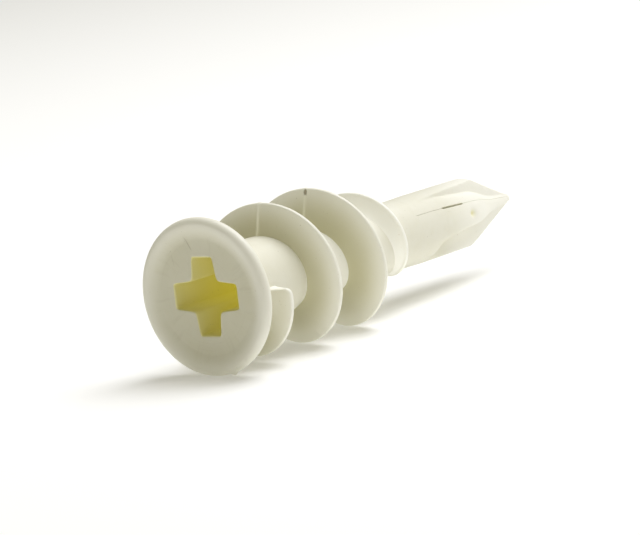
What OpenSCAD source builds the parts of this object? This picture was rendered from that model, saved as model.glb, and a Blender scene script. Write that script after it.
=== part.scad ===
// Self-drilling wall anchor for hollow board: a coarse-threaded nylon plug with a
// cross-recessed head and a split drill tip whose two legs spread when the screw goes in.
// The axis runs along +Y from head to tip. The origin is on the axis, in the plane where
// the underside of the head meets the face of the board.

/* [Head] */
// Diameter of the head over its rolled rim
head_d = 12.8; // [12:0.1:14]
// Thickness of the head at its round rim
head_t = 1; // [0.8:0.1:1.4]
// Width of the flat ring on top of the rim
ring_w = 0.3; // [0.2:0.05:0.5]
// Width of the slope from the ring down to the face
slope_w = 0.5; // [0.3:0.1:1]
// Depth of the face below the ring
dish_depth = 0.4; // [0.2:0.05:0.45]
// Diameter of the short hub under the head
hub_d = 7.8; // [7.4:0.1:8.2]

/* [Drive recess] */
// Width over two opposite arms of the cross
cross_span = 6.3; // [5.6:0.1:6.3]
// Width of an arm at the middle of the cross
arm_w = 2.4; // [2:0.1:2.6]
// Width of an arm at its outer end
arm_end_w = 2.05; // [1.8:0.05:2.2]
// Depth of the cross below the top of the head
cross_depth = 8.2; // [6:0.1:9]
// Diameter of the round clearance through the cross
clearance_d = 3.2; // [3.1:0.1:3.4]

/* [Shank] */
// Diameter of the neck under the head
neck_d = 6.9; // [6.8:0.1:7.2]
// Diameter of the barrel behind the first turn of the thread
barrel_d = 5.8; // [5.4:0.1:6.2]
// Diameter of the pilot bore that the screw bites in
bore_d = 3; // [2.6:0.1:3]

/* [Thread] */
// Largest diameter over the thread
thread_d = 12.2; // [11:0.1:12.4]
// Advance of the thread in one turn
pitch = 6.1; // [5.6:0.1:6.4]
// Height of the crest over the head's underside at the top of the first turn
first_crest = 7.48; // [7.3:0.02:7.8]
// Thickness of the thread at its crest
crest_w = 0.4; // [0.3:0.05:0.6]
// Thickness of the thread at its root
root_w = 1.9; // [1.4:0.1:2]

/* [Drill tip] */
// Overall length of the anchor, head included
total_l = 42; // [40:0.5:44]
// Distance from the head's underside to the root of the legs
leg_root = 24.7; // [24.2:0.1:25.2]
// Width over the two cutting wings
wing_span = 5.85; // [5.4:0.05:6.2]
// Distance from the head's underside to the shoulders of the wings
shoulder = 34.7; // [33.5:0.1:35.5]
// Lean of the wings from upright, clockwise seen from the head
wing_lean = 5; // [0:1:10]
// Gap between the two legs along the split
split_gap = 0.06; // [0.04:0.01:0.1]
// Turn of the split from upright, clockwise seen from the head
split_turn = 57; // [50:1:64]
// Width of the window that opens into the split
window_w = 0.36; // [0.3:0.02:0.5]

/* [Hidden] */
nylon = [0.93, 0.92, 0.84];
nylon_shade = [0.89, 0.88, 0.79];
nylon_deep = [0.86, 0.84, 0.72];
round_fn = 96;                        // fragments round every turned surface
eps = 0.01;                           // lift of the thread's foot off the shank
head_r = head_d / 2;
rim_r = head_t / 2;                   // the rim is a full half round
ring_r = head_r - rim_r;              // outer radius of the flat ring
face_r = ring_r - ring_w - slope_w;   // radius of the sunken face
hub_h = 0.7;                          // height of the hub under the head
neck_l = cross_depth - head_t;        // the neck ends where the cross does
taper_l = 2.6;                        // length over which the barrel narrows
tip_y = total_l - head_t;
turn_steps = 64;                      // steps round one turn of the thread
foot_steps = 4;                       // steps across the foot of the thread
hinge_gap = 0.05;                     // slit between the barrel and the root of a leg
leg_steps = 30;                       // steps round half a turn of a leg
window_from = 28.5;                   // near end of the window in the split
window_to = 31.9;                     // far end of the window in the split

// Radius of the shank at height y under the head: neck, taper, then plain barrel
function shank_r(y) = y < neck_l ? neck_d / 2
    : y > neck_l + taper_l ? barrel_d / 2
    : neck_d / 2 + (barrel_d - neck_d) / 2 * (y - neck_l) / taper_l;

// Height of the crest at turn angle a, counted clockwise from the top of the first turn
function crest_y(a) = first_crest + pitch * a / 360;

// Radius of the crest: a little low at the blunt start, full for two turns, then running out
function crest_r(a) = a < 0 ? lookup(a, [[-270, thread_d / 2 - 0.28], [0, thread_d / 2 - 0.08]])
    : lookup(a, [[0, thread_d / 2 - 0.08], [180, thread_d / 2], [540, thread_d / 2 - 0.07],
        [720, 4.53], [900, 3.05], [918, 2.98]]);

// Point at turn angle a, radius r and height y; angle 0 is up, and 90 is to the right
function around(a, r, y) = [r * sin(a), y, r * cos(a)];

// One cross-section of the thread: round the crest, then back along its foot on the shank
function thread_ring(a, step) =
    let (y = crest_y(a), top = crest_r(a), lift = 1 / cos(step / 2))
    concat([around(a, top, y - crest_w / 2), around(a, top, y + crest_w / 2)],
        [for (i = [foot_steps:-1:0]) let (foot = y + root_w * (i / foot_steps - 0.5))
            around(a, shank_r(foot) * lift + eps, foot)]);

// Closed solid through a list of rings that all have the same number of points, with its two ends' faces
module loft(rings, front, back) {
    n = len(rings[0]);
    m = len(rings);
    sides = [for (i = [0:m - 2], j = [0:n - 1]) let (k = (j + 1) % n)
        each [[i * n + j, (i + 1) * n + j, i * n + k], [i * n + k, (i + 1) * n + j, (i + 1) * n + k]]];
    polyhedron(points = [for (r = rings) each r], faces = concat(sides, front, back), convexity = 8);
}

// Stretch of the thread between two turn angles
module thread(from, to) {
    steps = ceil((to - from) / 360 * turn_steps);
    step = (to - from) / steps;
    rings = [for (i = [0:steps]) thread_ring(from + i * step, step)];
    n = len(rings[0]);
    loft(rings, [[for (j = [0:n - 1]) j]], [[0, for (j = [n - 1:-1:1]) j] + [for (j = [0:n - 1]) steps * n]]);
}

// Lays a solid turned about Z along the anchor's axis
module along_axis() {
    rotate([-90, 0, 0]) children();
}

// Cross-shaped prism between two heights, its arms a little narrower at their ends
module cross_prism(from, to) {
    end = cross_span / 2;
    mid = arm_w / 2;
    tip = arm_end_w / 2;
    along_axis() translate([0, 0, from]) linear_extrude(to - from)
        polygon([for (q = [0:3], p = [[mid, -mid], [end, -tip], [end, tip]])
            [p.x * cos(90 * q) - p.y * sin(90 * q), p.x * sin(90 * q) + p.y * cos(90 * q)]]);
}

// Everything that is hollow from the face of the head down to the end of the cross
module drive_recess() {
    cross_prism(-head_t - 1, neck_l + 1);
    along_axis() translate([0, 0, -head_t - 1]) cylinder(d = clearance_d, h = cross_depth + 2, $fn = round_fn);
}

module head_flange() {
    color(nylon) difference() {
        along_axis() rotate_extrude($fn = round_fn) {
            polygon([[0, -head_t + dish_depth], [face_r, -head_t + dish_depth], [ring_r - ring_w, -head_t],
                [ring_r, -head_t], [ring_r, 0], [hub_d / 2, 0], [neck_d / 2, hub_h], [0, hub_h]]);
            translate([ring_r, -rim_r]) circle(rim_r, $fn = 48);
        }
        drive_recess();
    }
}

module neck() {
    color(nylon_shade) difference() {
        along_axis() translate([0, 0, hub_h]) cylinder(d = neck_d, h = neck_l - hub_h, $fn = round_fn);
        drive_recess();
    }
}

module barrel() {
    color(nylon) difference() {
        along_axis() union() {
            translate([0, 0, neck_l]) cylinder(d1 = neck_d, d2 = barrel_d, h = taper_l, $fn = round_fn);
            translate([0, 0, neck_l + taper_l])
                cylinder(d = barrel_d, h = leg_root - neck_l - taper_l, $fn = round_fn);
        }
        along_axis() translate([0, 0, neck_l - 1]) cylinder(d = bore_d, h = leg_root - neck_l + 2, $fn = round_fn);
    }
}

module thread_start() {
    color(nylon_shade) thread(-270, 0);
}

module thread_turn_1() {
    color(nylon) thread(0, 360);
}

module thread_turn_2() {
    color(nylon_shade) thread(360, 720);
}

module thread_run_out() {
    color(nylon) thread(720, 918);
}

// Radius of the round core of the drill tip at height y
function core_r(y) = lookup(y, [[leg_root, barrel_d / 2], [27.5, 2.85], [31.7, 2.35], [34.7, 2.05],
    [36.8, 1.1], [tip_y - 0.6, 0.5], [tip_y, 0.22]]);

// Half the width over the wings at height y, straight to the shoulders, then to the point
function wing_r(y) = lookup(y, [[leg_root, barrel_d / 2], [28.5, wing_span / 2], [shoulder, wing_span / 2],
    [tip_y, 0.24]]);

// Half the thickness of the wings at height y
function wing_half(y) = lookup(y, [[leg_root, 1.3], [30, 1.05], [shoulder, 0.7], [tip_y, 0.2]]);

// How deep the two flutes are cut at height y, from none to full
function flute_depth(y) = lookup(y, [[28, 0], [30, 0.7], [31.6, 1]]);

// How far angle a, from 0 to 180, lies in a flute: the flute runs from 117 to 180 degrees
function flute_share(a) = lookup(a, [[0, 0], [110, 0], [124, 1], [180, 1]]);

// Radius of the tip's outline at angle a from the wings and height y
function tip_r(a, y) =
    let (half = (a + 360) % 180, side = max(abs(sin(a)), 0.02),
        core = core_r(y) - (core_r(y) - 0.6 * wing_half(y)) * flute_depth(y) * flute_share(half))
    max(min(wing_r(y), wing_half(y) / side), core);

// Half the width and the depth of the screw's way in a leg at height y: round, then flat past its end
function way_half(y) = lookup(y, [[leg_root, 1.3], [34.9, 0.5], [39.4, 0.25], [tip_y, 0.1]]);
function way_depth(y) = lookup(y, [[leg_root, 1.3], [34.9, 0.5], [35.6, 0], [tip_y, 0]]);

// Half the gap between the legs at height y: a thin split with a window cut into it
function half_gap(y) = y > window_from && y < window_to ? window_w / 2 : split_gap / 2;

// Point of a leg at height y, so far along its split and so far out of the gap
function leg_point(split, along, out, y) = let (across = half_gap(y) + max(out, 0))
    [along * sin(split) + across * sin(split - 90), y, along * cos(split) + across * cos(split - 90)];

// One cross-section of a leg: round the outside, then back round the screw's way, flat past its end
function leg_ring(split, y) = concat(
    [for (i = [0:leg_steps]) let (a = 180 * i / leg_steps, r = tip_r(split - a - wing_lean, y))
        leg_point(split, r * cos(a), (r - half_gap(y)) * sin(a), y)],
    [for (i = [leg_steps:-1:0]) let (a = 180 * i / leg_steps, out = (way_depth(y) - half_gap(y)) * sin(a))
        leg_point(split, way_half(y) * (out > 0 ? cos(a) : 1 - a / 90), out, y)]);

// Triangles that close the end of a leg, between its outside and the screw's way
function leg_cap(first) = let (last = 2 * leg_steps + 1)
    [for (i = [0:leg_steps - 1]) each [[first + i, first + i + 1, first + last - i],
        [first + i + 1, first + last - i - 1, first + last - i]]];

// One leg of the drill tip, on the side of the split a quarter turn back from its direction
module leg(split) {
    rows = [leg_root + hinge_gap, 26, 27.5, window_from - 0.02, window_from + 0.02, 29.2, 30, 30.6, 31.2,
        window_to - 0.02, window_to + 0.02, 32.8, 34, shoulder, 34.9, 35.6, 36.4, 37.2, 38.2, 39.4, tip_y - 0.6,
        tip_y];
    back = [for (f = leg_cap((len(rows) - 1) * 2 * (leg_steps + 1))) [f[2], f[1], f[0]]];
    loft([for (y = rows) leg_ring(split, y)], leg_cap(0), back);
}

module drill_leg_a() {
    color(nylon) leg(split_turn);
}

module drill_leg_b() {
    color(nylon_deep) leg(split_turn + 180);
}

head_flange();
neck();
barrel();
thread_start();
thread_turn_1();
thread_turn_2();
thread_run_out();
drill_leg_a();
drill_leg_b();
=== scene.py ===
import math

import bpy
import numpy as np
from mathutils import Matrix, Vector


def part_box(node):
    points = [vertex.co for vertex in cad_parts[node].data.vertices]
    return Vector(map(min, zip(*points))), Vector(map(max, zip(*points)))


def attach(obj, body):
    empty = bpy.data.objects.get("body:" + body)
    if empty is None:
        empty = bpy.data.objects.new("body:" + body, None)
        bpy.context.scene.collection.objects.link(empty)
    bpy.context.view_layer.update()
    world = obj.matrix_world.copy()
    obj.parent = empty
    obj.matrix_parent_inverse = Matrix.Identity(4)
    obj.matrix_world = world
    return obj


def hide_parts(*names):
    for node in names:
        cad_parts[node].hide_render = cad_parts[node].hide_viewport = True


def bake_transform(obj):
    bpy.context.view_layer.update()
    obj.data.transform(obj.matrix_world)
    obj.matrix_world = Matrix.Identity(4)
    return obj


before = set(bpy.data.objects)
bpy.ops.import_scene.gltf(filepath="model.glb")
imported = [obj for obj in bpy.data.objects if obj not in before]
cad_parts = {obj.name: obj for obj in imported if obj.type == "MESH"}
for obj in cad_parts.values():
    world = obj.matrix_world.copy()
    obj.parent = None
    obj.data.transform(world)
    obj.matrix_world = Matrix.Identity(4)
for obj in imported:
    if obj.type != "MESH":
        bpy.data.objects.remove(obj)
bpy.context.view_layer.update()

# ---- Head ----------------------------------------------------------------------------
# The head is a thin flange with a full round rim and a sunken face, and a cross recess
# runs down from it for the driver. It is natural nylon, moulded in one shot with the
# shank and the thread, so all share one finish, and its gate was snapped off the rim.
MM = 0.001
COLUMNS = 480
around_once = np.linspace(0, 2 * np.pi, COLUMNS, endpoint=False)
head_low, head_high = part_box("head_flange")
rim_reach = head_high.x / MM
rim_round = -head_low.y / MM / 2
ring_reach = rim_reach - rim_round
hub_top = head_high.y / MM
neck_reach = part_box("neck")[1].x / MM
FACE_REACH = 4.5
FACE_SINK = 0.4
FACE_DISH = 0.04
HUB_REACH = 3.9
CROSS_REACH = 3.15
CROSS_HALF = 1.308
CROSS_TAPER = 0.09
CROSS_DRAFT = 0.01
MOUTH_ROUND = 0.16
face_height = FACE_SINK - 2 * rim_round


def polar(angle, reach, height):
    """Points by angle from up, clockwise seen from the head: x is reach times the angle's sine, and z is
    reach times its cosine."""
    angle, reach, height = np.broadcast_arrays(angle, reach, height)
    return np.stack([reach * np.sin(angle), height, reach * np.cos(angle)], axis=-1)


def ease(share):
    """Share from 0 to 1 that starts and stops gently: three times its square less twice its cube, held
    between 0 and 1."""
    share = np.clip(share, 0, 1)
    return share * share * (3 - 2 * share)


def cross_bar(along, across):
    """Reach of one bar of the cross: the twentieth-power mean of its end and its side, which narrows
    outward."""
    end = along / CROSS_REACH
    side = (across + CROSS_TAPER * along) / CROSS_HALF
    return (end**20 + side**20) ** (-1 / 20)


def cross_reach(angle):
    """Reach of the cross at an angle: the ninth-power sum of its two bars, which rounds the inner
    corners."""
    level = np.abs(np.sin(angle))
    upright = np.abs(np.cos(angle))
    return (cross_bar(level, upright) ** 9 + cross_bar(upright, level) ** 9) ** (1 / 9)


def cross_spare(height):
    """How much wider than its floor line the cross is at a height, by the draft of its walls."""
    return CROSS_DRAFT * (face_height - height)


def cross_rows(share, reach, spare, height):
    """Rows that pass from the cross, widened by the spare, at share 0 to a circle of the reach at
    share 1."""
    together = np.broadcast_arrays(share, reach, spare, height)
    share, reach, spare, height = (values[:, None] for values in together)
    wall = cross_reach(around_once)[None, :] + spare
    return polar(around_once[None, :], (1 - share) * wall + share * reach, height)


def nylon_skin(name, grid, ended=False, **shares):
    """Closed skin over a grid of points in millimetres. Columns join round, and the first and last rows
    join too, or are each shut by one flat face. A share is kept as an attribute of the points for the
    finish."""
    rows, columns = grid.shape[:2]
    row = np.arange(rows - 1 if ended else rows)[:, None]
    column = np.arange(columns)[None, :]
    next_row = (row + 1) % rows
    next_column = (column + 1) % columns
    corners = [row * columns + column, row * columns + next_column,
               next_row * columns + next_column, next_row * columns + column]
    quads = np.stack(np.broadcast_arrays(*corners), axis=-1).reshape(-1, 4)
    points = grid.reshape(-1, 3) * MM
    a, b, c, d = (points[quads[:, k]] for k in range(4))
    inside_out = np.einsum("ij,ij->i", a + b + c + d, np.cross(c - a, d - b)).sum() < 0
    faces = quads.tolist()
    if ended:
        first_end = np.arange(columns)[::-1]
        last_end = np.arange(columns) + (rows - 1) * columns
        faces += [first_end.tolist(), last_end.tolist()]
    if inside_out:
        faces = [face[::-1] for face in faces]
    mesh = bpy.data.meshes.new(name)
    mesh.from_pydata(points.tolist(), [], faces)
    mesh.polygons.foreach_set("use_smooth", np.ones(len(faces), bool))
    mesh.set_sharp_from_angle(angle=math.radians(40))
    for key, value in shares.items():
        layer = mesh.attributes.new(key, "FLOAT", "POINT")
        values = np.broadcast_to(value, grid.shape[:2])
        layer.data.foreach_set("value", values.astype(np.float32).ravel())
    piece = bpy.data.objects.new(name, mesh)
    bpy.context.scene.collection.objects.link(piece)
    return piece


class Wire:
    """One socket in a finish. A sum on it adds Math nodes, and node() adds a node of any other type."""

    def __init__(self, tree, socket=None):
        self.tree = tree
        self.socket = socket

    def node(self, kind, settings=None, inputs=None, output=0):
        """Adds a node: its settings first, then the values or wires of its sockets. Returns one output."""
        made = self.tree.nodes.new(kind)
        for key, value in (settings or {}).items():
            setattr(made, key, value)
        for key, value in (inputs or {}).items():
            if isinstance(value, Wire):
                self.tree.links.new(value.socket, made.inputs[key])
            else:
                made.inputs[key].default_value = value
        return Wire(self.tree, made.outputs[output])

    def math(self, operation, *values):
        return self.node("ShaderNodeMath", {"operation": operation}, dict(enumerate(values)))

    def __add__(self, other):
        return self.math("ADD", self, other)

    __radd__ = __add__

    def __sub__(self, other):
        return self.math("SUBTRACT", self, other)

    def __rsub__(self, other):
        return self.math("SUBTRACT", other, self)

    def __mul__(self, other):
        return self.math("MULTIPLY", self, other)

    __rmul__ = __mul__

    def __pow__(self, other):
        return self.math("POWER", self, other)

    def __abs__(self):
        return self.math("ABSOLUTE", self)

    def fade(self, start, stop):
        """0 at start, 1 at stop, eased between them."""
        return self.node("ShaderNodeMapRange", {"interpolation_type": "SMOOTHSTEP"},
                         {"Value": self, "From Min": start, "From Max": stop})

    def blend(self, under, over):
        """Colour that goes from under to over as this share goes from 0 to 1."""
        return self.node("ShaderNodeMix", {"data_type": "RGBA"}, {0: self, 6: under, 7: over}, 2)

    def grain(self, scale, detail=2.0, roughness=0.5):
        """Noise from 0 to 1 on this place, with so many features to the millimetre."""
        return self.node("ShaderNodeTexNoise", {},
                         {"Vector": self, "Scale": scale, "Detail": detail, "Roughness": roughness})


NYLON = (0.80, 0.785, 0.675, 1)
NYLON_STRAW = (0.77, 0.75, 0.62, 1)
NYLON_PAINTED_LIGHT = (0.91, 0.905, 0.87, 1)
NYLON_PAINTED_SHADE = (0.49, 0.46, 0.23, 1)
NYLON_PAINTED_HOLLOW_LIGHT = (0.85, 0.805, 0.41, 1)
NYLON_DUST = (0.42, 0.38, 0.27, 1)
DARK = (0, 0, 0, 1)
PAINTED_LIGHT_GLOW = (0.12, 0.116, 0.078, 1)
HOLLOW_PAINTED_GLOW = (0.105, 0.093, 0.010, 1)


def natural_nylon(name, marks=None):
    """Satin natural nylon. Cream and straw drift into each other. Painted light makes thin edges paler,
    painted shade makes roots and flutes duller and more olive, and painted light turns hollows yellow with
    depth. Emission adds a faint painted glow, standing in for light through thin edges and in hollows.
    Marks is a function of (place, colour, height) that adds a piece's own marks."""
    finish = bpy.data.materials.new(name)
    finish.use_nodes = True
    tree = finish.node_tree
    shader = tree.nodes["Principled BSDF"]
    wire = Wire(tree)
    metres = wire.node("ShaderNodeTexCoord", output="Object")
    place = wire.node("ShaderNodeVectorMath", {"operation": "SCALE"}, {0: metres, "Scale": 1 / MM})
    thin, thick, deep = (
        wire.node("ShaderNodeAttribute", {"attribute_name": share}, output="Fac")
        for share in ("thin", "thick", "deep")
    )
    drift = place.grain(0.35, 3.0)
    cloud = place.grain(1.6, 3.0, 0.6)
    speck = place.grain(5.0, 1.0)
    fine = place.grain(14.0, 2.0)
    colour = (drift * 0.7 + cloud * 0.3).fade(0.3, 0.7).blend(NYLON, NYLON_STRAW)
    # Painted light: paler nylon on thin edges, outer flanks, the tip and between the turns, where light
    # shines through.
    colour = (thin * (0.85 + 0.3 * cloud)).fade(0.0, 1.0).blend(colour, NYLON_PAINTED_LIGHT)
    # Painted shade: duller, olive nylon at thread roots, along the tip's flutes and on the head's face.
    colour = (thick * 0.8).blend(colour, NYLON_PAINTED_SHADE)
    # Painted light: yellow in the recess, bore, screw's way and dimple, stronger with depth, standing in
    # for light gathered through the walls.
    colour = deep.fade(0.0, 0.6).blend(colour, NYLON_PAINTED_HOLLOW_LIGHT)
    colour = (speck.fade(0.74, 0.8) * 0.35).blend(colour, NYLON_DUST)
    # Painted glow in the emission, standing in for light through thin edges and light gathered in hollows.
    painted_glow = deep.fade(0.4, 1.0).blend(thin.blend(DARK, PAINTED_LIGHT_GLOW), HOLLOW_PAINTED_GLOW)
    height = drift * 0.03 + cloud * 0.006 + fine * 0.0016
    if marks:
        colour, height = marks(place, colour, height)
    rough = 0.36 + 0.16 * cloud + 0.1 * fine
    bump = wire.node("ShaderNodeBump", {}, {"Strength": 1.0, "Distance": MM, "Height": height})
    tree.links.new(colour.socket, shader.inputs["Base Color"])
    tree.links.new(painted_glow.socket, shader.inputs["Emission Color"])
    tree.links.new(rough.socket, shader.inputs["Roughness"])
    tree.links.new(bump.socket, shader.inputs["Normal"])
    shader.inputs["IOR"].default_value = 1.53
    shader.inputs["Emission Strength"].default_value = 1.0
    return finish


def scratch(place, start, stop, width):
    """Share that is 1 on the line from start to stop on the head's face and 0 past its half width: the
    distance across the line, faded out, times the distance along it, faded at both ends."""
    run = (stop[0] - start[0], stop[1] - start[1])
    length = math.hypot(*run)
    ahead = (run[0] / length, 0.0, run[1] / length)
    aside = (-run[1] / length, 0.0, run[0] / length)
    away = place.node("ShaderNodeVectorMath", {"operation": "SUBTRACT"},
                      {0: place, 1: (start[0], 0.0, start[1])})
    along = away.node("ShaderNodeVectorMath", {"operation": "DOT_PRODUCT"}, {0: away, 1: ahead}, "Value")
    across = away.node("ShaderNodeVectorMath", {"operation": "DOT_PRODUCT"}, {0: away, 1: aside}, "Value")
    reach = along.fade(-0.1, 0.25) * along.fade(length + 0.1, length - 0.25)
    return reach * abs(across).fade(width, 0.0)


def head_marks(place, colour, height):
    """Marks of the head's face: faint streaks out from the recess and round it, and two scratches."""
    parts = place.node("ShaderNodeSeparateXYZ", {}, {0: place})
    x, y, z = (Wire(parts.tree, output) for output in parts.socket.node.outputs)
    reach = (x * x + z * z) ** 0.5
    angle = place.math("ARCTAN2", x, z)
    spokes = place.node("ShaderNodeCombineXYZ", {}, {"X": angle * 9.0, "Y": reach * 0.35})
    rings = place.node("ShaderNodeCombineXYZ", {}, {"X": angle * 0.7, "Y": reach * 7.0})
    on_face = y.fade(-0.35, -0.5) * reach.fade(5.7, 4.6)
    spoke = spokes.grain(1.0, 3.0, 0.6).fade(0.52, 0.72) * on_face
    ring = rings.grain(1.0, 2.0).fade(0.55, 0.75) * on_face
    long_scratch = scratch(place, (-1.41, 4.87), (-0.88, 3.74), 0.085) * on_face
    short_scratch = scratch(place, (-2.99, 3.42), (-2.84, 2.45), 0.08) * on_face
    colour = (spoke * 0.10).blend(colour, NYLON_DUST)
    colour = (ring * 0.07).blend(colour, NYLON_DUST)
    colour = (long_scratch * 0.5 + short_scratch * 0.2).blend(colour, NYLON_DUST)
    height = height - spoke * 0.003 - ring * 0.002 - long_scratch * 0.02 - short_scratch * 0.01
    return colour, height


mouth_height = face_height + MOUTH_ROUND
steps = np.linspace(0, 1, 13)
wall_rows = cross_rows(0, 0, cross_spare(hub_top) * (1 - steps),
                       hub_top + (mouth_height - hub_top) * steps)
quarter = np.radians(np.linspace(15, 90, 6))
mouth_rows = cross_rows(0, 0, MOUTH_ROUND * (1 - np.cos(quarter)),
                        mouth_height - MOUTH_ROUND * np.sin(quarter))
steps = steps[1:]
face_rows = cross_rows(steps, FACE_REACH, MOUTH_ROUND, face_height - FACE_DISH * steps**2)
slope_rows = cross_rows(1, FACE_REACH + (ring_reach - FACE_REACH) * steps, 0,
                        face_height - FACE_DISH - (FACE_SINK - FACE_DISH) * ease(steps))
half_turn = np.radians(np.linspace(-90, 90, 25))
rim_rows = cross_rows(1, ring_reach + rim_round * np.cos(half_turn), 0,
                      rim_round * (np.sin(half_turn) - 1))
steps = np.linspace(0, 1, 7)[1:]
under_rows = cross_rows(1, ring_reach + (HUB_REACH - ring_reach) * steps, 0, 0)
hub_rows = cross_rows(1, neck_reach + (HUB_REACH - neck_reach) * (1 - steps) ** 2, 0, hub_top * steps)
seam_rows = cross_rows(np.array([0.75, 0.5, 0.25]), neck_reach, cross_spare(hub_top), hub_top)
head_grid = np.concatenate([wall_rows, mouth_rows, face_rows, slope_rows,
                            rim_rows, under_rows, hub_rows, seam_rows])
reach = np.hypot(head_grid[..., 0], head_grid[..., 2])
GATE_ANGLE = math.radians(163)
GATE_HEIGHT = 0.2
GATE_WIDTH = 0.28
GATE_DEPTH = 0.22
gate = np.exp(-(((around_once - GATE_ANGLE) * rim_reach / GATE_WIDTH) ** 2))[None, :]
gate = gate * np.exp(-(((head_grid[..., 1] + rim_round) / GATE_DEPTH) ** 2)) * (reach > ring_reach)
head_grid[..., 0] += GATE_HEIGHT * gate * np.sin(around_once)
head_grid[..., 2] += GATE_HEIGHT * gate * np.cos(around_once)
WALL_HOLLOW_LIGHT = 0.5
HOLLOW_LIGHT_PER_MM = 0.06
HOLLOW_LIGHT_FADE = 0.12
RIM_PAINTED_LIGHT = 0.36
RIM_FADE = 1.6
FACE_PAINTED_SHADE = 0.32
in_recess = ease((cross_reach(around_once) + MOUTH_ROUND - reach) / HOLLOW_LIGHT_FADE)
rim_share = ease((reach - FACE_REACH + 0.2) / RIM_FADE)
# Painted light pales the rim, painted shade dulls the face, and painted light yellows the recess more the
# deeper it goes.
moulded_head = nylon_skin("moulded_head", head_grid,
                          thin=RIM_PAINTED_LIGHT * rim_share, thick=FACE_PAINTED_SHADE * (1 - rim_share),
                          deep=in_recess * (WALL_HOLLOW_LIGHT + HOLLOW_LIGHT_PER_MM * (head_grid[..., 1] - face_height)))
moulded_head.data.materials.append(natural_nylon("nylon_of_head", head_marks))
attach(moulded_head, "moulding")
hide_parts("head_flange")

# ---- Neck ----------------------------------------------------------------------------
# The neck is the thick start of the shank under the head, with the cross recess running
# down its whole length. The blunt end of the thread grows from its side.
NECK_PAINTED_LIGHT = 0.12
WALL_SEAM = 0.08
neck_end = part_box("neck")[1].y / MM
steps = np.linspace(0, 1, 27)
heights = hub_top + (neck_end - hub_top) * steps
neck_out = cross_rows(1, neck_reach, 0, heights)
neck_wall = cross_rows(0, 0, cross_spare(heights[::-1]), heights[::-1])
shares = np.array([0.75, 0.5, 0.25])
far_seam = cross_rows(shares, neck_reach, cross_spare(neck_end), neck_end)
near_seam = cross_rows(shares[::-1], neck_reach, cross_spare(hub_top), hub_top)
neck_grid = np.concatenate([neck_out, far_seam, neck_wall, near_seam])
reach = np.hypot(neck_grid[..., 0], neck_grid[..., 2])
in_recess = ease((cross_reach(around_once) + WALL_SEAM - reach) / WALL_SEAM)
# Painted light pales the neck a little and yellows its recess wall with depth.
recessed_neck = nylon_skin("recessed_neck", neck_grid, thin=NECK_PAINTED_LIGHT,
                           deep=in_recess * (WALL_HOLLOW_LIGHT + HOLLOW_LIGHT_PER_MM * (neck_grid[..., 1] - face_height)))
recessed_neck.data.materials.append(natural_nylon("nylon_of_neck"))
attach(recessed_neck, "moulding")
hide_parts("neck")

# ---- Barrel --------------------------------------------------------------------------
# The barrel is the hollow shank that carries the thread. It tapers below the neck, and
# its pilot bore, which the screw bites in, starts in the floor of the cross. Between the
# turns it is paler with painted light, standing in for light through their thin walls.
BARREL_REACH = 2.9
TAPER = 2.6
BORE = 1.5
BORE_LEAD = 0.35
BARREL_PAINTED_LIGHT = 0.1
TURNS_PAINTED_LIGHT = 0.6
TURNS_PAINTED_LIGHT_TO = 21
TURNS_PAINTED_LIGHT_FADE = 5
barrel_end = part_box("barrel")[1].y / MM


def shank_reach(height):
    """Reach of the shank at a height: the neck, eased down to the barrel over the taper's length."""
    return neck_reach + (BARREL_REACH - neck_reach) * ease((height - neck_end) / TAPER)


heights = np.linspace(neck_end, barrel_end, 90)[:, None]
barrel_out = polar(around_once, shank_reach(heights), heights)
far_end = polar(around_once, np.array([[2.4], [1.9]]), barrel_end)
bore_wall = polar(around_once, BORE, np.linspace(barrel_end, neck_end + BORE_LEAD, 50)[:, None])
steps = np.linspace(0, 1, 7)[1:, None]
lead = polar(around_once, BORE + BORE_LEAD * steps**2, neck_end + BORE_LEAD * (1 - steps))
floor_rows = polar(around_once, np.array([[2.3], [2.8]]), neck_end)
barrel_grid = np.concatenate([barrel_out, far_end, bore_wall, lead, floor_rows])
reach = np.hypot(barrel_grid[..., 0], barrel_grid[..., 2])
in_bore = (reach < BARREL_REACH - 0.05).astype(float)
in_thread = ease((barrel_grid[..., 1] - neck_end) / 2) * ease((TURNS_PAINTED_LIGHT_TO - barrel_grid[..., 1]) / TURNS_PAINTED_LIGHT_FADE)
# Painted light pales the barrel between the turns and yellows the bore.
bored_barrel = nylon_skin("bored_barrel", barrel_grid,
                          thin=BARREL_PAINTED_LIGHT + TURNS_PAINTED_LIGHT * in_thread, deep=in_bore)
bored_barrel.data.materials.append(natural_nylon("nylon_of_barrel"))
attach(bored_barrel, "moulding")
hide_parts("barrel")

# ---- Thread --------------------------------------------------------------------------
# One coarse thread, deep and thin, cuts its own way into the board. It has a blunt start
# behind the head, two full turns and a tail that runs out on the barrel. The two halves
# of the mould meet along it and leave a fine raised line at the top and bottom.
PITCH = 6.1
FIRST_CREST = 7.48
CREST_HALF = 0.2
CREST_ROUND = 0.16
ROOT_HALF = 0.84
ROOT_FILLET = 0.26
FILLET_FALL = 0.3
FOOT_SINK = 0.05
START = -270
END = 918
START_ROUND = 0.6
START_EDGE = 0.13
START_FADE = 0.25
CREST_FADE = 0.25
LINE_HEIGHT = 0.06
LINE_WIDTH = 0.13
crest_knots = [START, 0, 180, 540, 720, 900, END]
crest_reaches = [5.82, 6.02, 6.1, 6.03, 4.53, 3.05, 2.98]
line_knots = [-180, 0, 180, 360, 540, 720]
line_strengths = [0.15, 1, 0.15, 0.75, 0.15, 0.2]


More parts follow.
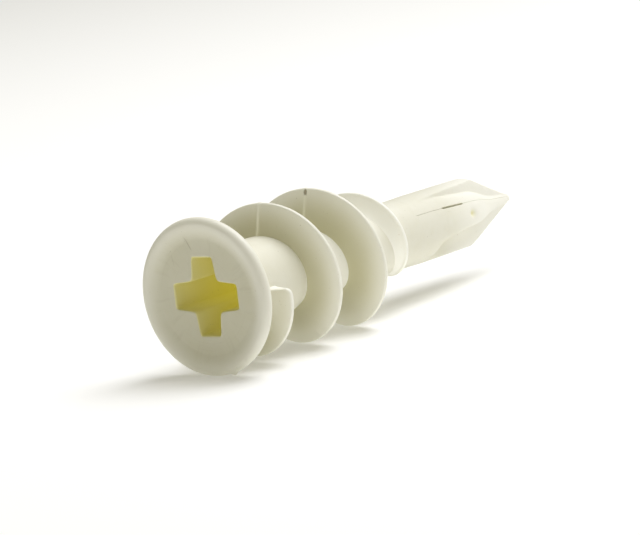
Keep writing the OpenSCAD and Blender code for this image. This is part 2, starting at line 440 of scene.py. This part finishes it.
def crest_reach(turn):
    """Reach of the crest at a turn angle in degrees: the mean of straight runs between its knots over 20
    degrees, less a round corner at the blunt start."""
    window = np.linspace(-10, 10, 9)
    reach = np.interp(turn[:, None] + window, crest_knots, crest_reaches).mean(axis=1)
    past = np.clip(START_ROUND - np.radians(turn - START) * reach, 0, START_ROUND)
    return reach - (START_ROUND - np.sqrt(START_ROUND**2 - past**2))


def thread_turns(start, stop):
    """Turn angles of the rows from start to stop: every 1.5 degrees, closer at the mould lines, and closer
    the nearer they are to the blunt start."""
    even = np.linspace(start, stop, int((stop - start) / 1.5) + 1)
    near_lines = (np.arange(-180, 901, 180)[:, None] + np.linspace(-4, 4, 33)).ravel()
    near_start = START + np.array([0, 0.1, 0.3, 0.6, 1, 1.5, 2.1, 2.8, 3.6, 4.5, 5.4, 6.3])
    turn = np.concatenate([even, near_lines, near_start])
    return np.unique(np.round(turn[(turn >= start) & (turn <= stop)], 3))


def thread_skin(name, start, stop):
    """Stretch of thread between two turn angles. Across it, half the thickness falls from the root to the
    crest with a fillet that dies away from the shank, a quarter round makes each edge of the crest, and
    the foot sits just inside the shank. A raised mould line crosses it every half turn."""
    turn = thread_turns(start, stop)
    middle = FIRST_CREST + PITCH * turn / 360
    top = crest_reach(turn)
    foot = shank_reach(middle + ROOT_HALF + ROOT_FILLET) - FOOT_SINK
    edge = np.minimum(CREST_ROUND, 0.4 * (top - foot))
    flank = np.array([0, 0.03, 0.07, 0.12, 0.18, 0.26, 0.36, 0.47, 0.59, 0.72, 0.86, 1])
    bend = np.radians([18, 36, 54, 72, 90])
    crest = np.array([0.7, 0.35, 0.0])
    half_rows = (
        np.concatenate([flank, 1 + 0 * bend, 1 + 0 * crest]),
        np.concatenate([0 * flank, np.sin(bend), 1 + 0 * crest]),
        np.concatenate([0 * flank, 1 - np.cos(bend), 1 + 0 * crest]),
        np.concatenate([1 + 0 * flank, 1 + 0 * bend, crest]),
    )
    climb, rise, inset, crest_share = (np.concatenate([row, row[::-1]])[None, :] for row in half_rows)
    side = np.repeat([1, -1], half_rows[0].size)[None, :]
    full_out = np.maximum(top - edge - foot, 0.004)[:, None]
    out = climb * full_out
    reach = foot[:, None] + out + rise * edge[:, None]
    from_start = np.radians(turn - START)[:, None] * reach
    sharp = np.clip(START_EDGE - from_start, 0, START_EDGE)
    worn = START_EDGE - np.sqrt(START_EDGE**2 - sharp**2)
    fade = ease((top - foot) / 1.2)[:, None]
    half = ROOT_HALF * (1 - climb) + CREST_HALF * climb + ROOT_FILLET * np.exp(-out / FILLET_FALL)
    half = half * (0.35 + 0.65 * fade) - inset * edge[:, None] - worn
    from_line = (turn[:, None] + 90) % 180 - 90
    strength = np.interp(turn, line_knots, line_strengths)[:, None]
    line = strength * np.exp(-((np.radians(from_line) * reach / LINE_WIDTH) ** 2)) * fade
    half = (half + LINE_HEIGHT * line * (rise < 0.5)) * crest_share
    reach = reach + LINE_HEIGHT * line * (rise >= 0.5)
    grid = polar(np.radians(turn)[:, None], reach, middle[:, None] - side * half)
    run_out = ease((turn - 480) / 240)[:, None]
    # Painted light pales the crest, the outer flank, the blunt start, the mould lines and the run-out;
    # painted shade dulls the flank towards the root.
    thin_crest = ease((out - full_out + CREST_FADE) / CREST_FADE * (climb > 0.5)) * (0.45 + 0.2 * rise)
    thin_flank = 0.7 * ease((out - 0.8) / 2.6)
    thin_start = 0.5 * ease(1 - from_start / START_FADE)
    thin_parts = np.broadcast_arrays(thin_crest, thin_flank, thin_start, 0.8 * line, 0.85 * run_out)
    thick = (1 - run_out) * ease((turn - START) / 90)[:, None] * (0.85 - 0.75 * ease(out / 3.6))
    return nylon_skin(name, grid, ended=True, thin=np.maximum.reduce(thin_parts), thick=thick, deep=0)


FLECK_PLACE = (0.12, 13.35, 5.75)
FLECK_SHAPE = (6.5, 3.0, 3.0)
FLECK_BROWN = (0.16, 0.12, 0.06, 1)


def turn_marks(place, colour, height):
    """A dark fleck of flash on the crest at the top, where the second turn starts."""
    fleck = place.node("ShaderNodeVectorMath", {"operation": "SUBTRACT"}, {0: place, 1: FLECK_PLACE})
    fleck = fleck.node("ShaderNodeVectorMath", {"operation": "MULTIPLY"}, {0: fleck, 1: FLECK_SHAPE})
    size = fleck.node("ShaderNodeVectorMath", {"operation": "LENGTH"}, {0: fleck}, "Value")
    stain = (size + place.grain(4.0)).fade(1.6, 1.0)
    return (stain * 0.85).blend(colour, FLECK_BROWN), height - stain * 0.02


nylon_of_thread = natural_nylon("nylon_of_thread")
nylon_of_fleck = natural_nylon("nylon_with_fleck", turn_marks)
for name, node, start, stop, finish in (
    ("blunt_thread_start", "thread_start", START, 0, nylon_of_thread),
    ("first_turn", "thread_turn_1", 0, 360, nylon_of_fleck),
    ("second_turn", "thread_turn_2", 360, 720, nylon_of_fleck),
    ("thread_tail", "thread_run_out", 720, END, nylon_of_thread),
):
    stretch = thread_skin(name, start, stop)
    stretch.data.materials.append(finish)
    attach(stretch, "moulding")
    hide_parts(node)

# ---- Drill tip -----------------------------------------------------------------------
# The tip is two legs with a thin split between them. Outside they make a fluted spade
# bit with two wings, and inside they narrow, so the screw spreads them. On the real part
# each leg bends where it leaves the barrel, at a hinge moulded in one with it; here both legs stay at rest.
TIP_END = 41.0
TIP_ROUND = 0.3
WING_LEAN = math.radians(5)
SPLIT_TURN = math.radians(57)
SPLIT_GAP = 0.015
WINDOW_FROM = 28.4
WINDOW_TO = 32.0
WINDOW_GAP = 0.075
SPOT_ANGLE = math.radians(84)
SPOT_HEIGHT = 33.0
SPOT_DEPTH = 0.3
LEG_STEPS = 120
core_knots = [barrel_end, 27.5, 31.7, 34.7, 36.8, 40.4, TIP_END]
core_reaches = [2.9, 2.85, 2.35, 2.05, 1.1, 0.5, 0.22]
wing_knots = [barrel_end, 28.5, 34.7, TIP_END]
wing_reaches = [2.9, 2.925, 2.925, 0.24]
blade_knots = [barrel_end, 30, 34.7, TIP_END]
blade_halves = [1.3, 1.05, 0.7, 0.2]
way_half_knots = [barrel_end, 34.9, 39.4, TIP_END]
way_halves = [1.3, 0.5, 0.25, 0.1]
way_depth_knots = [barrel_end, 34.9, 35.6, TIP_END]
way_depths = [1.3, 0.5, 0, 0]


def eased_run(height, knots, values, spread=0.4):
    """Straight runs between knots, each point the mean over the spread either side of it."""
    window = spread * np.linspace(-1, 1, 15)
    return np.interp(height[..., None] + window, knots, values).mean(axis=-1)


def flute_cut(turned):
    """Share of the flute's depth at an angle in degrees from the wings: none up to 104, all from 130."""
    return ease((turned - 104) / 26)


def bit_reach(angle, height):
    """Reach of the bit's outline at an angle from the wings. A wing is the smaller of its reach and its
    half thickness over the sine, the core is cut down in the flutes, and the outline is the larger of wing
    and core. Each corner is rounded by the root of its difference squared plus a small square."""
    spread = np.clip(height - barrel_end, 0, 1)[..., None]
    core = eased_run(height, core_knots, core_reaches, spread * 1.4)
    wing = eased_run(height, wing_knots, wing_reaches)
    blade_half = eased_run(height, blade_knots, blade_halves, spread)
    flute = eased_run(height, [28, 30, 31.6], [0, 0.7, 1], 1.0)
    core = core - (core - 0.6 * blade_half) * flute_cut(np.degrees(angle) % 180) * flute
    blade = blade_half / np.maximum(np.abs(np.sin(angle)), 0.02)
    corner = 0.14 * ease((height - barrel_end) / 3)
    wing = (wing + blade - np.sqrt((wing - blade) ** 2 + corner**2)) / 2
    return (wing + core + np.sqrt((wing - core) ** 2 + (0.8 * corner) ** 2)) / 2


def leg_skin(name, split, spotted):
    """One leg: round the outside through half a turn, then back along the screw's way, row by row to the
    point, which is rounded as a quarter circle. The way is half an ellipse that flattens towards the
    point. The spot is a shallow dimple."""
    even_rows = np.linspace(barrel_end, TIP_END - TIP_ROUND, 125)[:-1]
    window_rows = np.array([[WINDOW_FROM + 0.1], [WINDOW_TO - 0.1]]) + np.linspace(-0.12, 0.12, 5)
    point_rows = TIP_END - TIP_ROUND * (1 - np.sin(np.radians(np.linspace(0, 90, 7))))
    height = np.sort(np.concatenate([even_rows, window_rows.ravel(), point_rows]))[:, None]
    slimming = np.sqrt(1 - np.clip((height - TIP_END + TIP_ROUND) / (TIP_ROUND + 0.01), 0, 1) ** 2)
    window = ease((height - WINDOW_FROM) / 0.3) * ease((WINDOW_TO - height) / 0.3)
    gap = (SPLIT_GAP + WINDOW_GAP * window) * slimming
    round_out = np.linspace(0, np.pi, LEG_STEPS + 1)[None, :]
    turned = split - round_out
    dimple = np.hypot((turned - SPOT_ANGLE) * 2.0, (height - SPOT_HEIGHT) * 0.8)
    dimple = spotted * np.exp(-((dimple / 0.3) ** 2))
    reach = bit_reach(turned - WING_LEAN, height) * slimming - SPOT_DEPTH * dimple
    along = reach * np.cos(round_out)
    across = gap + (reach - gap) * np.sin(round_out)
    half = np.interp(height, way_half_knots, way_halves) * slimming
    depth = np.interp(height, way_depth_knots, way_depths)
    back = round_out[:, ::-1]
    flat = ease((height - 33.5) / 1.5)
    way_along = half * ((1 - flat) * np.cos(back) + flat * (1 - 2 * back / np.pi))
    way_across = gap + np.maximum((depth - gap) * np.sin(back), 0)
    along = np.concatenate([along, way_along], axis=1)
    across = np.concatenate([across, way_across], axis=1)
    facing = split - np.pi / 2
    grid = np.stack([along * np.sin(split) + across * np.sin(facing), height + 0 * along,
                     along * np.cos(split) + across * np.cos(facing)], axis=-1)
    # Painted light pales the leg towards the point, painted shade dulls the flute's edges, and painted
    # light yellows the screw's way and the dimple.
    thin = 0.1 + 0.45 * ease((height - 28) / 6)
    cut = flute_cut(np.degrees(turned - WING_LEAN) % 180)
    flute_painted_shade = 5.5 * cut * (1 - cut) * ease((height - 27) / 3) * ease((38 - height) / 3)
    thick = np.concatenate([flute_painted_shade, 0 * flute_painted_shade], axis=1)
    deep = np.concatenate([0.4 * dimple, 0.3 + 0 * way_across], axis=1)
    return nylon_skin(name, grid, ended=True, thin=thin, thick=thick, deep=deep)


nylon_of_tip = natural_nylon("nylon_of_tip")
for name, node, body, split, spotted in (
    ("upper_leg", "drill_leg_a", "leg_a", SPLIT_TURN, False),
    ("lower_leg", "drill_leg_b", "leg_b", SPLIT_TURN + np.pi, True),
):
    leg = leg_skin(name, split, spotted)
    leg.data.materials.append(nylon_of_tip)
    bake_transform(leg)
    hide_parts(node)

# ---- Table, light and camera ---------------------------------------------------------
# The anchor lies on its head and its second turn on a plain white table, which slopes a
# little in its frame. Soft light comes from above and behind, so that the faces towards
# the camera are in shade.
TABLE_SLOPE = 0.0216
table_height = (-rim_reach + rim_round * TABLE_SLOPE) * MM
corners = np.array([(-2, -2), (2, -2), (2, 2), (-2, 2)], float)
table_points = np.column_stack([corners, table_height + TABLE_SLOPE * corners[:, 1]])
table_mesh = bpy.data.meshes.new("table")
table_mesh.from_pydata(table_points.tolist(), [], [(0, 1, 2, 3)])
table = bpy.data.objects.new("table", table_mesh)
bpy.context.scene.collection.objects.link(table)
table_finish = bpy.data.materials.new("white_table")
table_finish.use_nodes = True
table_shader = table_finish.node_tree.nodes["Principled BSDF"]
table_shader.inputs["Base Color"].default_value = (0.92, 0.92, 0.91, 1)
table_shader.inputs["Emission Color"].default_value = (1, 1, 1, 1)
table_shader.inputs["Emission Strength"].default_value = 0.16
table_shader.inputs["Roughness"].default_value = 0.8
table_shader.inputs["Specular IOR Level"].default_value = 0.1
table_mesh.materials.append(table_finish)


def placed(side, up, back, place):
    """Matrix of a lamp or camera that looks away from its back: side, up, back and place make its
    columns."""
    matrix = np.eye(4)
    matrix[:3] = np.column_stack([side, up, back, place])
    return Matrix(matrix.tolist())


LAMP_PLACE = (0.07, 0.14, 0.34)
LAMP_AIM = (0.0, 0.018, 0.0)
lamp = bpy.data.lights.new("key", "AREA")
lamp.shape = "SQUARE"
lamp.size = 0.30
lamp.energy = 1.45
lamp.color = (0.99, 0.995, 1.05)
holder = bpy.data.objects.new("key", lamp)
back = np.subtract(LAMP_PLACE, LAMP_AIM)
back = back / np.linalg.norm(back)
side = np.cross((0.0, 0.0, 1.0), back)
side = side / np.linalg.norm(side)
holder.matrix_world = placed(side, np.cross(back, side), back, LAMP_PLACE)
holder.visible_camera = False
bpy.context.scene.collection.objects.link(holder)

world = bpy.data.worlds.new("room")
world.use_nodes = True
room = world.node_tree.nodes["Background"]
room.inputs["Color"].default_value = (1.0, 0.955, 0.72, 1)
room.inputs["Strength"].default_value = 0.27
scene = bpy.context.scene
scene.world = world
scene.view_settings.view_transform = "Standard"

VIEW_TURN = math.radians(38.603)
VIEW_RISE = math.radians(9.042)
VIEW_ROLL = math.radians(-7.152)
VIEW_DISTANCE = 0.365
VIEW_AIM = (0.0011, 0.0128, -0.00036)
back = np.array([math.sin(VIEW_TURN) * math.cos(VIEW_RISE),
                 -math.cos(VIEW_TURN) * math.cos(VIEW_RISE), math.sin(VIEW_RISE)])
level = np.array([math.cos(VIEW_TURN), math.sin(VIEW_TURN), 0.0])
side = math.cos(VIEW_ROLL) * level + math.sin(VIEW_ROLL) * np.cross(back, level)
eye = bpy.data.cameras.new("eye")
eye.sensor_width = 36.0
eye.lens = 253.1
eye.clip_start = 0.01
eye.clip_end = 10.0
camera = bpy.data.objects.new("eye", eye)
camera.matrix_world = placed(side, np.cross(back, side), back, VIEW_AIM + VIEW_DISTANCE * back)
scene.collection.objects.link(camera)
scene.camera = camera

bpy.context.view_layer.update()
